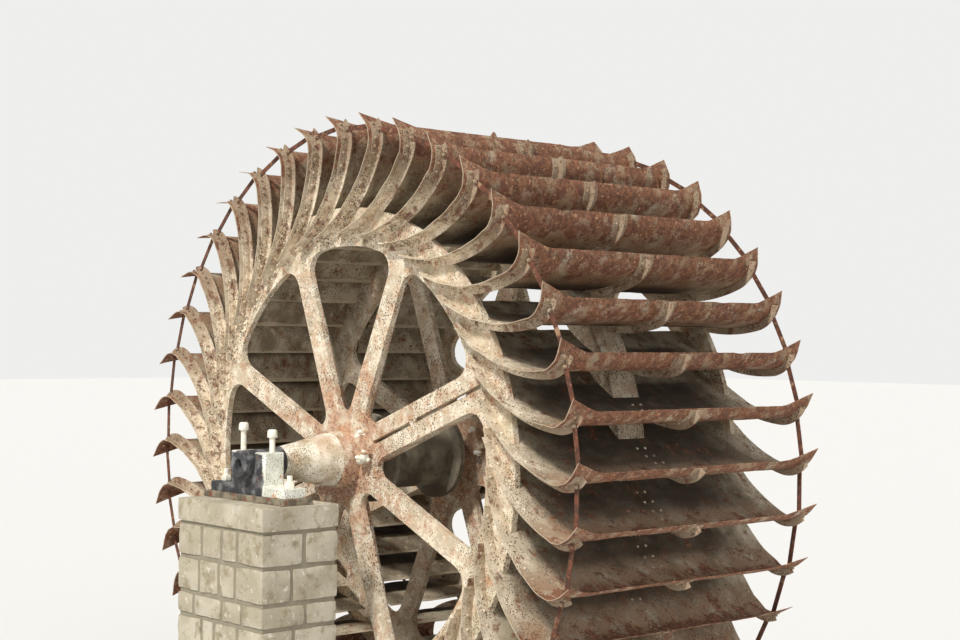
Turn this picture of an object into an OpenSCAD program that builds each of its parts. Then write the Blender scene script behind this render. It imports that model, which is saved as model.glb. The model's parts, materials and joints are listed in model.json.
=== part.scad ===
// Breast-shot iron water wheel on its horizontal axle, carried by two open
// pedestal bearings on masonry piers. X runs across the wheel, Y along the axle
// and Z up. The origin is on the floor, under the middle of the axle.

/* [Wheel] */
// Inner radius of the three cast rings
rim_r = 2200; // [2000:10:2400]
// Radial width of the ring web
rim_w = 396; // [360:2:420]
// Distance from the middle spider to each end spider
spider_pitch = 1540; // [1400:10:1700]
// Height of the lowest bucket tip above the floor
floor_gap = 60; // [40:5:150]
// Direction of the joint between the two halves of each spider
split_angle = 20.9; // [15:0.1:25]

/* [Spokes] */
// Width of a single spoke
spoke_w = 230; // [200:5:260]
// Width of each half of a double spoke
half_spoke_w = 160; // [140:5:190]
// Slot between the halves of a double spoke
spoke_slot = 40; // [30:1:50]
// Thickness of the flat web of ring and spokes
spoke_t = 65; // [50:1:80]
// Width of the stiffening rib on the back of a spoke
rib_w = 50; // [40:1:60]
// Depth of the stiffening rib at the hub
rib_h = 130; // [100:5:160]
// Fillet where a spoke runs into the ring
spoke_fillet = 190; // [150:5:220]
// Fillet between spokes at the hub
hub_fillet = 120; // [100:5:140]

/* [Hub] */
// Radius of the hub boss
boss_r = 293; // [280:1:320]
// Length of the hub boss along the axle
boss_l = 440; // [400:10:480]
// Radius of the clamping bolts of the hub
clamp_bolt_r = 24; // [18:1:28]

/* [Buckets] */
// Number of buckets around the wheel
bucket_count = 40; // [36:2:40]
// Angle from the joint of the spiders back to the bend of the nearest bucket
bucket_lag = 3.3; // [1:0.1:5]
// Radius of the bend between bucket and lip, from the axle
bend_r = 3205; // [3150:5:3300]
// Slope of the bucket plate at the bend
bend_slope = 13.5; // [12:0.5:15]
// Radius of the curved bucket plate
plate_r = 1630; // [1600:5:1700]
// Arc of the curved bucket plate
plate_arc = 44.2; // [42:0.1:45]
// Radius of the curled lip
lip_r = 248; // [230:1:260]
// Arc of the curled lip
lip_arc = 68; // [60:1:75]
// Height of the ear that stands on the lip at each end of the wheel
ear_h = 140; // [100:1:160]
// Length of the ear along the lip
ear_l = 360; // [300:5:420]
// Thickness of the bucket plate
plate_t = 6; // [5:0.5:8]
// How far the buckets reach past the outer face of the end rings
overhang = 140; // [120:5:160]

/* [Bucket irons] */
// Depth of the iron that lies on the ring
iron_w = 72; // [60:1:76]
// Width of the iron's leg that carries the bucket
iron_leg = 90; // [70:1:110]
// Thickness of the irons
iron_t = 10; // [8:1:12]
// Arc of the lip that the irons leave bare at its edge
iron_short = 4; // [2:1:8]
// Width of the tie bars between lips
tie_w = 50; // [40:1:60]
// Thickness of the tie bars
tie_t = 8; // [6:1:12]

/* [Middle ring] */
// Thickness of the middle ring's flange
flange_t = 40; // [30:1:50]
// Reach of the flange on each side of the web
flange_reach = 150; // [120:5:170]

/* [Shaft] */
// Radius of the journals
journal_r = 140; // [120:1:150]
// Radius of the free ends outside the bearings
shaft_end_r = 136; // [115:1:145]
// Radius of the coring hole at each end
core_r = 57; // [40:1:60]
// Distance from an end spider to the end of the shaft
stub_l = 1320; // [1250:10:1400]
// Distance from an end spider to the shoulder at its bearing
shoulder_y = 880; // [860:5:900]
// Radius of the hollow drum between the spiders
drum_r = 330; // [300:1:350]
// Radius of the flanges beside the hubs
collar_r = 460; // [420:5:480]
// Wall of the hollow drum
drum_wall = 60; // [50:1:80]

/* [Bearings] */
// Distance between the two cap bolts of a bearing
bolt_span = 500; // [460:5:520]
// Width of the bearing's body outside each cap bolt
cheek_edge = 40; // [36:1:60]
// Height of the cheeks above the axle
cheek_h = 122; // [110:1:140]
// Radius of the bolts that stand without their cap
bolt_r = 29; // [24:1:32]
// Bare length of the shorter cap bolt under its nut
bolt_free = 145; // [120:5:170]
// How much further the other cap bolt stands out
bolt_lift = 50; // [0:5:60]
// Width of the nuts across their flats
nut_w = 92; // [80:1:100]
// Height of the nuts
nut_h = 80; // [70:1:90]
// Length of the bearing along the axle
bearing_l = 260; // [220:5:280]
// Distance between the bolts that hold the bearing's foot down
foot_span = 1100; // [1000:10:1120]
// Thickness of the bearing's foot
foot_t = 95; // [80:1:110]
// Height of the axle above the bearing's sole plate
seat_h = 300; // [280:5:340]
// Thickness of the sole plate
sole_t = 60; // [50:1:80]

/* [Piers] */
// Width of a pier across the axle
pier_w = 1500; // [1300:10:1700]
// Depth of a pier along the axle
pier_d = 900; // [800:10:1000]

/* [Hidden] */
$fn = 96;
ring_fn = 360;
plate_steps = 16;
lip_steps = 10;
seat_gap = 0.3;
run_gap = 0.2;
bolt_gap = 1;
big = 5000;
bucket_step = 360 / bucket_count;
rim_out = rim_r + rim_w;
hub_seat_r = 200;
hub_plate_r = 540;
spacer_r = 1150;
spacer_l = 90;
lug_u = 420;
lug_l = 150;
lug_v = 100;
lug_t = 110;
clamp_nut_h = 40;
mid_gap = 4;
ring_clear = 1;
iron_foot_in = 26;
cleat_gap = 23;
joint_step = 0.05;
joint_lap = 0.1;
tie_top_arc = 42;
tie_foot_arc = 10;
tie_top_back = 44;
tie_past_bolt = 20;
collar_l = 60;
collar_step = 80;
hub_step = 40;
hub_step_h = 50;
core_wide_r = 117;
core_taper = 140;
hub_play = 4;
cone_top_r = 275;
cone_end_r = 155;
journal_collar_r = 160;
journal_collar_l = 40;
end_chamfer = 12;
bearing_gap = 80;
end_play = 10;
body_chamfer = 25;
foot_edge = 90;
foot_nut_h = 60;
foot_bolt_out = 60;
sole_edge = 50;
bolt_end = 20;
lug_bolt_at = 0.6;

// Curved plate: centre and end directions in the plane of the wheel
bend = [bend_r, 0];
plate_c = bend + plate_r * [sin(bend_slope), cos(bend_slope)];
plate_a1 = 270 - bend_slope;
plate_a0 = plate_a1 - plate_arc;
lip_c = bend + lip_r * [sin(bend_slope), cos(bend_slope)];
lip_a1 = plate_a1 + lip_arc;
lip_end = lip_c + lip_r * [cos(lip_a1), sin(lip_a1)];
lip_dir = [-sin(lip_a1), cos(lip_a1)];
ear_tip = lip_end + ear_h * lip_dir;
tip_r = norm(ear_tip + [plate_t, plate_t]);
axle_h = ceil(tip_r / 10) * 10 + floor_gap;

end_y = spider_pitch + spoke_t / 2 + overhang;
shaft_y = spider_pitch + stub_l;
shoulder = spider_pitch + shoulder_y;
bearing_y = shoulder + bearing_gap + bearing_l / 2;
pier_h = axle_h - seat_h - sole_t;

function polar(r, a) = [r * cos(a), r * sin(a)];
function arc(c, r, a0, a1, n) = [for (i = [0:n]) c + polar(r, a0 + (a1 - a0) * i / n)];

// Centre of the circle that touches the edges of two spokes
function between(a0, a1, d0, d1) =
    [d0 * cos(a1) + d1 * cos(a0), d0 * sin(a1) + d1 * sin(a0)] / sin(a1 - a0);

// Outline of the opening between the spokes at a0 and a1, of half widths w0 and w1
function window(a0, a1, w0, w1) =
    let (
        f = spoke_fillet,
        g = hub_fillet,
        k0 = a0 + asin((w0 + f) / (rim_r - f)),
        k1 = a1 - asin((w1 + f) / (rim_r - f)),
        inner = between(a0, a1, w0 + g, w1 + g)
    )
    concat(
        arc(polar(rim_r - f, k0), f, a0 - 90, k0, 6),
        arc([0, 0], rim_r, k0 + 1, k1 - 1, 8),
        arc(polar(rim_r - f, k1), f, k1, a1 + 90, 6),
        arc(inner, g, a1 + 90, a0 + 270, 8)
    );

// The wheel's plane: x across, y up and z towards the near end of the axle
module on_axle() translate([0, 0, axle_h]) rotate([90, 0, 0]) children();

module half_space(side) {
    rotate(split_angle + 180 * side)
        translate([-big, 0, -big])
            cube([2 * big, big, 2 * big]);
}

module spider_web() {
    double_w = half_spoke_w + spoke_slot / 2;
    difference() {
        circle(rim_out, $fn = ring_fn);
        for (i = [0:7]) {
            w0 = i % 4 == 0 ? double_w : spoke_w / 2;
            w1 = i % 4 == 3 ? double_w : spoke_w / 2;
            polygon(window(split_angle + 45 * i, split_angle + 45 * (i + 1), w0, w1));
        }
        for (k = [0, 1])
            rotate(split_angle + 180 * k)
                difference() {
                    translate([hub_plate_r, -spoke_slot / 2])
                        square([rim_r - hub_plate_r + 60, spoke_slot]);
                    translate([spacer_r, -spoke_slot])
                        square([spacer_l, 2 * spoke_slot]);
                }
    }
}

// Back ribs of the single spokes, tapered from hub to ring
module spoke_ribs(back) {
    for (i = [1, 2, 3, 5, 6, 7])
        rotate(split_angle + 45 * i)
            scale([1, 1, back])
                translate([0, rib_w / 2, spoke_t / 2 - 1])
                    rotate([90, 0, 0])
                        linear_extrude(rib_w)
                            polygon([[boss_r - 20, 0], [rim_r + 30, 0], [rim_r + 30, rib_h * 0.45],
                                [boss_r - 20, rib_h]]);
    for (k = [0, 1], s = [-1, 1])
        rotate(split_angle + 180 * k)
            scale([1, s, back])
                translate([0, spoke_slot / 2 + half_spoke_w, spoke_t / 2 - 1])
                    rotate([90, 0, 0])
                        linear_extrude(rib_w)
                            polygon([[hub_plate_r - 80, 0], [rim_r + 30, 0], [rim_r + 30, rib_h * 0.45],
                                [hub_plate_r - 80, rib_h * 0.9]]);
}

module clamp_lugs(back) {
    for (k = [0, 1], s = [-1, 1])
        rotate(split_angle + 180 * k)
            scale([1, 1, -back])
                translate([lug_u - lug_l / 2, s > 0 ? 0 : -lug_v, spoke_t / 2 - 1])
                    cube([lug_l, lug_v, lug_t]);
}

// back is -1 where the ribs lie on the far side and 1 where they lie on the near side
module spider(y, side, back, flanged) {
    color("#8f8775")
        on_axle()
            translate([0, 0, -y])
                intersection() {
                    difference() {
                        union() {
                            translate([0, 0, -spoke_t / 2])
                                linear_extrude(spoke_t)
                                    spider_web();
                            translate([0, 0, -boss_l / 2])
                                cylinder(r = boss_r, h = boss_l);
                            spoke_ribs(back);
                            clamp_lugs(back);
                            if (flanged)
                                difference() {
                                    translate([0, 0, -flange_reach - spoke_t / 2])
                                        cylinder(r = rim_out, h = 2 * flange_reach + spoke_t, $fn = ring_fn);
                                    translate([0, 0, -big / 2])
                                        cylinder(r = rim_out - flange_t, h = big, $fn = ring_fn);
                                }
                        }
                        translate([0, 0, -big / 2])
                            cylinder(r = hub_seat_r + seat_gap, h = big);
                        for (k = [0, 1])
                            rotate(split_angle + 180 * k)
                                translate([lug_u, big / 2, -back * (spoke_t / 2 + lug_t * lug_bolt_at)])
                                    rotate([90, 0, 0])
                                        cylinder(r = clamp_bolt_r + bolt_gap, h = big);
                    }
                    half_space(side);
                }
}

module clamp_bolts(y, back) {
    len = 2 * (lug_v + seat_gap + clamp_nut_h + bolt_end);
    color("#7a6f5f")
        on_axle()
            translate([0, 0, -y])
                for (k = [0, 1])
                    rotate(split_angle + 180 * k)
                        translate([lug_u, len / 2, -back * (spoke_t / 2 + lug_t * lug_bolt_at)])
                            rotate([90, 0, 0]) {
                                cylinder(r = clamp_bolt_r, h = len);
                                for (z = [bolt_end, len - bolt_end - clamp_nut_h])
                                    translate([0, 0, z])
                                        cylinder(r = 2 * clamp_bolt_r, h = clamp_nut_h, $fn = 6);
                            }
}

module shaft() {
    hub_half = boss_l / 2;
    collar_y = spider_pitch - hub_half - collar_step;
    mid_collar_y = hub_half + collar_step;
    cone_y = spider_pitch + hub_half + hub_play;
    journal_end = bearing_y + bearing_l / 2 + end_play;
    outer = [
        [0, hub_seat_r], [hub_half + hub_step, hub_seat_r],
        [hub_half + hub_step, hub_seat_r + hub_step_h], [mid_collar_y, hub_seat_r + hub_step_h],
        [mid_collar_y, collar_r], [mid_collar_y + collar_l, collar_r],
        [mid_collar_y + collar_l, drum_r], [collar_y - collar_l, drum_r],
        [collar_y - collar_l, collar_r], [collar_y, collar_r],
        [collar_y, hub_seat_r + hub_step_h], [collar_y + hub_step, hub_seat_r + hub_step_h],
        [collar_y + hub_step, hub_seat_r], [cone_y, hub_seat_r], [cone_y, cone_top_r],
        [shoulder - journal_collar_l, cone_end_r], [shoulder - journal_collar_l, journal_collar_r],
        [shoulder, journal_collar_r], [shoulder, journal_r], [journal_end, journal_r],
        [journal_end, shaft_end_r], [shaft_y - end_chamfer, shaft_end_r],
        [shaft_y, shaft_end_r - end_chamfer]
    ];
    inner = [
        [shaft_y, core_r], [spider_pitch + hub_half, core_r], [spider_pitch, core_wide_r],
        [collar_y - collar_step - hub_step, core_wide_r],
        [collar_y - collar_step - hub_step - core_taper, drum_r - drum_wall],
        [mid_collar_y + collar_step + hub_step + core_taper, drum_r - drum_wall],
        [mid_collar_y + collar_step + hub_step, core_wide_r], [0, core_wide_r]
    ];
    profile = concat(outer, inner);
    color("#8a8272")
        on_axle()
            for (s = [0, 1])
                rotate([0, 180 * s, 0])
                    rotate_extrude()
                        polygon([for (p = profile) [p[1], p[0]]]);
}

// Section of a bucket across the axle: curved plate, curled lip and the ear's height
bucket_section = concat(
    arc(plate_c, plate_r + plate_t, plate_a0, plate_a1, plate_steps),
    [for (i = [1:lip_steps])
        lip_c + polar(lip_r + plate_t, plate_a1 + lip_arc * i / lip_steps)],
    [lip_c + polar(lip_r + plate_t, lip_a1) + ear_h * lip_dir],
    [lip_end + ear_h * lip_dir],
    arc(lip_c, lip_r, lip_a1, plate_a1, lip_steps),
    [for (i = [1:plate_steps])
        plate_c + polar(plate_r, plate_a1 - plate_arc * i / plate_steps)]
);

// One bucket from za to zb along the axle, with an ear left standing at zb
module bucket(za, zb) {
    difference() {
        translate([0, 0, za])
            linear_extrude(zb - za)
                polygon(bucket_section);
        translate([lip_c[0], lip_c[1], 0])
            rotate(lip_a1)
                translate([lip_r - plate_t, 0, 0])
                    rotate([90, 0, 90])
                        linear_extrude(3 * plate_t)
                            polygon([[0, za - 1], [0, zb - ear_l], [ear_h, zb], [2 * ear_h, zb + 1],
                                [2 * ear_h, za - 1]]);
    }
}

module buckets(first, end) {
    color("#7d7464")
        on_axle()
            for (i = [first:first + 4])
                rotate(split_angle - bucket_lag + i * bucket_step)
                    scale([1, 1, end])
                        difference() {
                            bucket(mid_gap / 2, end_y);
                            translate([0, 0, spider_pitch - spoke_t / 2 - ring_clear])
                                cylinder(r = rim_out + ring_clear, h = spoke_t + 2 * ring_clear, $fn = ring_fn);
                            cylinder(r = rim_out + ring_clear, h = spoke_t / 2 + flange_reach + ring_clear,
                                $fn = ring_fn);
                        }
}

// Direction from plate_c of the point of the circle of radius r that lies at that radius of the wheel,
// or of its innermost point where the circle stays further out
function plate_dir(wheel_r, r) =
    let (d = norm(plate_c))
    atan2(plate_c[1], plate_c[0]) + 360 - acos(max(-1, (wheel_r * wheel_r - d * d - r * r) / (2 * d * r)));

// Part of an angle iron round a centre: a leg against the bucket's back and a web across the axle
module iron_part(centre, r, from, to, grow) {
    translate(centre)
        rotate(from)
            rotate_extrude(angle = to - from, $fn = ring_fn)
                translate([r + plate_t + seat_gap, 0])
                    polygon([[-grow, -grow], [iron_w + grow, -grow], [iron_w + grow, iron_t + grow],
                        [iron_t + grow, iron_t + grow], [iron_t + grow, iron_leg + grow],
                        [-grow, iron_leg + grow]]);
}

// Angle iron on the back of a bucket, whose foot stands foot_r from the axle
module bucket_iron(foot_r) {
    foot = plate_dir(foot_r, plate_r + plate_t + seat_gap + iron_w);
    iron_part(plate_c, plate_r, foot, plate_a1 + joint_lap, 0);
    iron_part(lip_c, lip_r, plate_a1, lip_a1 - iron_short, joint_step);
}

module bucket_irons(end) {
    color("#948b78")
        on_axle()
            for (i = [0:bucket_count - 1])
                rotate(split_angle - bucket_lag + i * bucket_step)
                    scale([1, 1, end])
                        translate([0, 0, spider_pitch + spoke_t / 2 + seat_gap])
                            bucket_iron(rim_r + iron_foot_in);
}

module bucket_cleats(end) {
    color("#857c6b")
        on_axle()
            for (i = [0:bucket_count - 1])
                rotate(split_angle - bucket_lag + i * bucket_step)
                    scale([1, 1, end])
                        translate([0, 0, mid_gap / 2])
                            bucket_iron(rim_out + cleat_gap);
}

// Flat bar from the iron under one lip into the hollow of the next lip
module tie_bars(end) {
    turn = [[cos(bucket_step), sin(bucket_step)], [-sin(bucket_step), cos(bucket_step)]];
    bolt = lip_c + polar(lip_r + plate_t + tie_top_back, plate_a1 + tie_top_arc);
    next_c = turn * lip_c;
    foot = turn * (lip_c + polar(lip_r, lip_a1 - tie_foot_arc));
    run = foot - bolt;
    color("#6d5a48")
        on_axle()
            for (i = [0:bucket_count - 1])
                rotate(split_angle - bucket_lag + i * bucket_step)
                    scale([1, 1, end])
                        translate([0, 0, spider_pitch + spoke_t / 2 + iron_t + 2 * seat_gap])
                            intersection() {
                                translate(bolt)
                                    rotate(atan2(run[1], run[0]))
                                        translate([-tie_past_bolt, -tie_w / 2, 0])
                                            cube([norm(run) + tie_past_bolt + tie_w, tie_w, tie_t]);
                                union() {
                                    translate(next_c)
                                        cylinder(r = lip_r * cos(lip_arc / lip_steps / 2) - seat_gap, h = tie_t);
                                    translate(next_c)
                                        translate([-lip_r, 0, 0])
                                            cube([3 * lip_r, 3 * lip_r, tie_t]);
                                }
                            }
}

module bearing_housing(end) {
    seat = journal_r + run_gap;
    w = bolt_span / 2 + cheek_edge;
    l = bearing_l / 2;
    c = body_chamfer;
    foot_w = foot_span + 2 * foot_edge;
    color("#5b5a58")
        translate([0, end * bearing_y, axle_h])
            difference() {
                translate([0, 0, -seat_h]) {
                    linear_extrude(seat_h + cheek_h)
                        polygon([[c - w, -l], [w - c, -l], [w, c - l], [w, l - c], [w - c, l], [c - w, l],
                            [-w, l - c], [-w, c - l]]);
                    translate([-foot_w / 2, -l, 0])
                        cube([foot_w, bearing_l, foot_t]);
                }
                rotate([90, 0, 0])
                    cylinder(r = seat, h = 2 * bearing_l, center = true);
                translate([-seat, -bearing_l, 0])
                    cube([2 * seat, 2 * bearing_l, seat_h]);
                for (x = [-foot_span / 2, -bolt_span / 2, bolt_span / 2, foot_span / 2])
                    translate([x, 0, -seat_h - 1])
                        cylinder(r = bolt_r + bolt_gap, h = seat_h + cheek_h + 2);
            }
}

module nut_bolt(h, nut_z, nut_size) {
    cylinder(r = bolt_r, h = h);
    translate([0, 0, nut_z])
        cylinder(d = nut_w / cos(30), h = nut_size, $fn = 6);
}

// The cap bolts with their nuts run up to the top, and the foot bolts through the foot
module bearing_bolts(end) {
    cap_nut_z = seat_h + cheek_h + bolt_free - seat_gap;
    color("#a59e8c")
        translate([0, end * bearing_y, axle_h - seat_h + seat_gap])
            for (s = [-1, 1]) {
                lift = s < 0 ? bolt_lift : 0;
                translate([s * bolt_span / 2, 0, 0])
                    nut_bolt(cap_nut_z + lift + nut_h, cap_nut_z + lift, nut_h);
                translate([s * foot_span / 2, 0, 0])
                    nut_bolt(foot_t + foot_nut_h + foot_bolt_out, foot_t, foot_nut_h);
            }
}

module sole_plate(end) {
    w = foot_span / 2 + foot_edge + sole_edge;
    color("#6b675f")
        translate([-w, end * bearing_y - bearing_l / 2 - sole_edge, pier_h])
            cube([2 * w, bearing_l + 2 * sole_edge, sole_t]);
}

module pier(end) {
    color("#a39c8c")
        translate([-pier_w / 2, end * bearing_y - pier_d / 2, 0])
            cube([pier_w, pier_d, pier_h]);
}

pier(-1);  // pier_near
pier(1);  // pier_far
sole_plate(-1);  // sole_plate_near
sole_plate(1);  // sole_plate_far
bearing_housing(-1);  // bearing_near
bearing_housing(1);  // bearing_far
bearing_bolts(-1);  // bearing_bolts_near
bearing_bolts(1);  // bearing_bolts_far
shaft();
spider(-spider_pitch, 0, -1, false);  // spider_near_upper
spider(-spider_pitch, 1, -1, false);  // spider_near_lower
spider(0, 0, -1, true);  // spider_middle_upper
spider(0, 1, -1, true);  // spider_middle_lower
spider(spider_pitch, 0, 1, false);  // spider_far_upper
spider(spider_pitch, 1, 1, false);  // spider_far_lower
clamp_bolts(-spider_pitch, -1);  // clamp_bolts_near
clamp_bolts(0, -1);  // clamp_bolts_middle
clamp_bolts(spider_pitch, 1);  // clamp_bolts_far
bucket_irons(1);  // bucket_irons_near
bucket_irons(-1);  // bucket_irons_far
bucket_cleats(1);  // bucket_cleats_near
bucket_cleats(-1);  // bucket_cleats_far
tie_bars(1);  // tie_bars_near
tie_bars(-1);  // tie_bars_far
buckets(0, 1);  // buckets_near_1
buckets(5, 1);  // buckets_near_2
buckets(10, 1);  // buckets_near_3
buckets(15, 1);  // buckets_near_4
buckets(20, 1);  // buckets_near_5
buckets(25, 1);  // buckets_near_6
buckets(30, 1);  // buckets_near_7
buckets(35, 1);  // buckets_near_8
buckets(0, -1);  // buckets_far_1
buckets(5, -1);  // buckets_far_2
buckets(10, -1);  // buckets_far_3
buckets(15, -1);  // buckets_far_4
buckets(20, -1);  // buckets_far_5
buckets(25, -1);  // buckets_far_6
buckets(30, -1);  // buckets_far_7
buckets(35, -1);  // buckets_far_8
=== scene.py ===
# Water wheel: finishes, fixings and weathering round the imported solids
import json
import math
import random

import bpy
import numpy as np
from mathutils import Matrix, Vector, noise


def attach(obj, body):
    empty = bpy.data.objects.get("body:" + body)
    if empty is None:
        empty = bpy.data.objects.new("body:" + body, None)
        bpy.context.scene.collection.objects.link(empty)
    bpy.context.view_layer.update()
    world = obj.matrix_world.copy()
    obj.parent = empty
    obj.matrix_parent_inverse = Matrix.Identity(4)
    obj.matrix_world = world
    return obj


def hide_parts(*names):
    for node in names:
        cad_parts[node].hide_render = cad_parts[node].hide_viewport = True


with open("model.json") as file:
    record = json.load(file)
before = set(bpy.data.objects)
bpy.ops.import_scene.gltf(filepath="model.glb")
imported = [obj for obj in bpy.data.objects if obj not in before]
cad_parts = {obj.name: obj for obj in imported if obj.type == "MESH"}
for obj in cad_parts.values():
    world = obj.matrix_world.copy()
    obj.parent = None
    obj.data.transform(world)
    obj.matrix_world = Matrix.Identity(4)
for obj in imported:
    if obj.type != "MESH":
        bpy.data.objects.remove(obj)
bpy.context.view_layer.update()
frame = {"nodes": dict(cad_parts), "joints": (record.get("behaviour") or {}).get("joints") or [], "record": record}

# Sizes in metres and degrees, as the solids have them: the rings of the three spiders
AXLE_H = frame["joints"][0]["pos_m"][2]
RING_IN = 2.200
RING_OUT = 2.596
RING_T = 0.065
SPIDER_PITCH = 1.540
RING_FACE = SPIDER_PITCH + RING_T / 2
SPLIT = 20.9

# Buckets: a long flat arc, then a curled lip with an ear at the wheel's end
BUCKETS = 40
GROUP = 5
STEP = 360 / BUCKETS
BUCKET_LAG = 3.3
BEND_R = 3.205
BEND_SLOPE = 13.5
PLATE_R = 1.630
PLATE_ARC = 44.2
LIP_R = 0.248
LIP_ARC = 68
EAR_H = 0.140
EAR_L = 0.360
PLATE_T = 0.006
SEAT = 0.0003
CLEAR = 0.001
END_W = RING_FACE + 0.140
EAR_W = END_W - EAR_L
MID_REACH = RING_T / 2 + 0.150
MID_GAP = 0.002
WEB_NEAR = RING_FACE + CLEAR
WEB_FAR = SPIDER_PITCH - RING_T / 2 - CLEAR

# Irons and cleats that carry the buckets, and the tie bars between the lips
IRON_W = 0.072
IRON_LEG = 0.090
IRON_T = 0.010
IRON_FOOT_R = RING_IN + 0.026
CLEAT_FOOT_R = RING_OUT + 0.023
TIE_TOP_ARC = 42
TIE_TOP_BACK = 0.044
TIE_T = 0.008

# Journals, bearings, piers and the lugs of the hubs
SHOULDER = 2.420
BEARING_Y = 2.630
CHEEK_TOP = AXLE_H + 0.122
SEAT_BASE = AXLE_H - 0.300
FOOT_TOP = SEAT_BASE + 0.095
BOLT_SPAN = 0.500
FOOT_SPAN = 1.100
BOLT_R = 0.029
NUT_W = 0.092
PIER_TOP = AXLE_H - 0.360
PIER_SIZE = (1.500, 0.900)
LUG_U = 0.420
LUG_V = 0.100
LUG_OUT = 0.110

# Fixings of irons and cleats, with the share of bolts that are lost
WEB_BOLT = 0.030
WEB_BOLTS = 7
WEB_BOLT_START = 1.3
WEB_BOLT_STEP = 3.0
WEB_LINE = IRON_W * 0.6
RING_EDGE = 0.02
LEG_BOLT = 0.028
LEG_BOLT_START = 3.2
LEG_LINE = IRON_LEG * 0.6
LEG_STEP = 4.7
LIP_BOLTS = (6, 24, 59)
RIVET_R = 0.016
RIVET_START = 2
LIP_RIVETS = (14, 44)
LOST_WEB_BOLTS = 0.06
LOST_LEG_BOLTS = 0.05

# Where a finish starts and where it is full, by distance from the axle
MOSS_RIM = (RING_IN - 0.30, RING_IN + 0.05)
HUB_RUST = (1.30, 0.30)
# Painted shade deep inside the buckets lies between these two distances
PAINTED_SHADE_START = (2.42, 2.47)
PAINTED_SHADE_END = (3.10, 2.90)
LIMED_REACH = (3.10, 2.80)
BROWN_SILT = (2.80, 3.15)
LIP_RUST = (3.05, 3.36)
# Painted highlight along the inner edge of each bucket plate
PAINTED_LIGHT_INNER_EDGE = (2.326, 2.321)
DULL_IRON = (2.70, 3.20)

# The same by distance along the axle from the middle of the wheel
# Painted shade deep inside the buckets lies within this distance of the middle
PAINTED_SHADE_WITHIN = (1.48, 0.95)
LIMED_OUTER_END = (1.40, 1.58)
DIRTY_DRUM = (SPIDER_PITCH, SPIDER_PITCH - 0.20)
GREASED_JOURNAL = (SHOULDER - 0.045, SHOULDER - 0.038)
# Painted highlight along the end edge of each bucket plate
PAINTED_LIGHT_END_EDGE = (END_W - 0.013, END_W - 0.008)

# The same across and up the bearings, and down the piers
# The bearings' right side is pale as painted sunlight over lime, and their top rim is pale
LIME_AND_LIGHT_SIDE = (0.262, 0.284)
LIMED_RIM = (CHEEK_TOP - 0.020, CHEEK_TOP - 0.008)
PIER_MOSS = (2.4, 0.1)


def polar(r, degrees):
    a = math.radians(degrees)
    return np.array([r * math.cos(a), r * math.sin(a)])


# The two arcs of a bucket in the wheel's plane, with their bend on the X axis
BEND = np.array([BEND_R, 0.0])
BEND_NORMAL = np.array([math.sin(math.radians(BEND_SLOPE)), math.cos(math.radians(BEND_SLOPE))])
PLATE_C = BEND + PLATE_R * BEND_NORMAL
LIP_C = BEND + LIP_R * BEND_NORMAL
PLATE_A1 = 270 - BEND_SLOPE
PLATE_A0 = PLATE_A1 - PLATE_ARC
LIP_A1 = PLATE_A1 + LIP_ARC
LIP_DIR = np.array([-math.sin(math.radians(LIP_A1)), math.cos(math.radians(LIP_A1))])


def on_wheel(p, w):
    """A point of the wheel's own plane, w towards the near end, in the row frame."""
    return Vector((p[0], -w, AXLE_H + p[1]))


def turned(p, degrees):
    a = math.radians(degrees)
    return np.array([p[0] * math.cos(a) - p[1] * math.sin(a), p[0] * math.sin(a) + p[1] * math.cos(a)])


def bucket_angle(i):
    return SPLIT - BUCKET_LAG + i * STEP


def plate_direction(wheel_r, r):
    """Direction from the plate's centre of the point of its circle r that is wheel_r from the axle."""
    d = np.hypot(*PLATE_C)
    centre = math.degrees(math.atan2(PLATE_C[1], PLATE_C[0]))
    return centre + 360 - math.degrees(math.acos((wheel_r ** 2 - d ** 2 - r ** 2) / (2 * d * r)))


def behind(direction, away):
    """Point at a distance behind a bucket, by the direction from its plate's or its lip's centre."""
    if direction <= PLATE_A1:
        return PLATE_C + polar(PLATE_R + PLATE_T + away, direction)
    return LIP_C + polar(LIP_R + PLATE_T + away, direction)


BACK_R = PLATE_R + PLATE_T + SEAT + IRON_W
IRON_FOOT = plate_direction(IRON_FOOT_R, BACK_R)
CLEAT_FOOT = plate_direction(CLEAT_FOOT_R, BACK_R)


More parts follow.
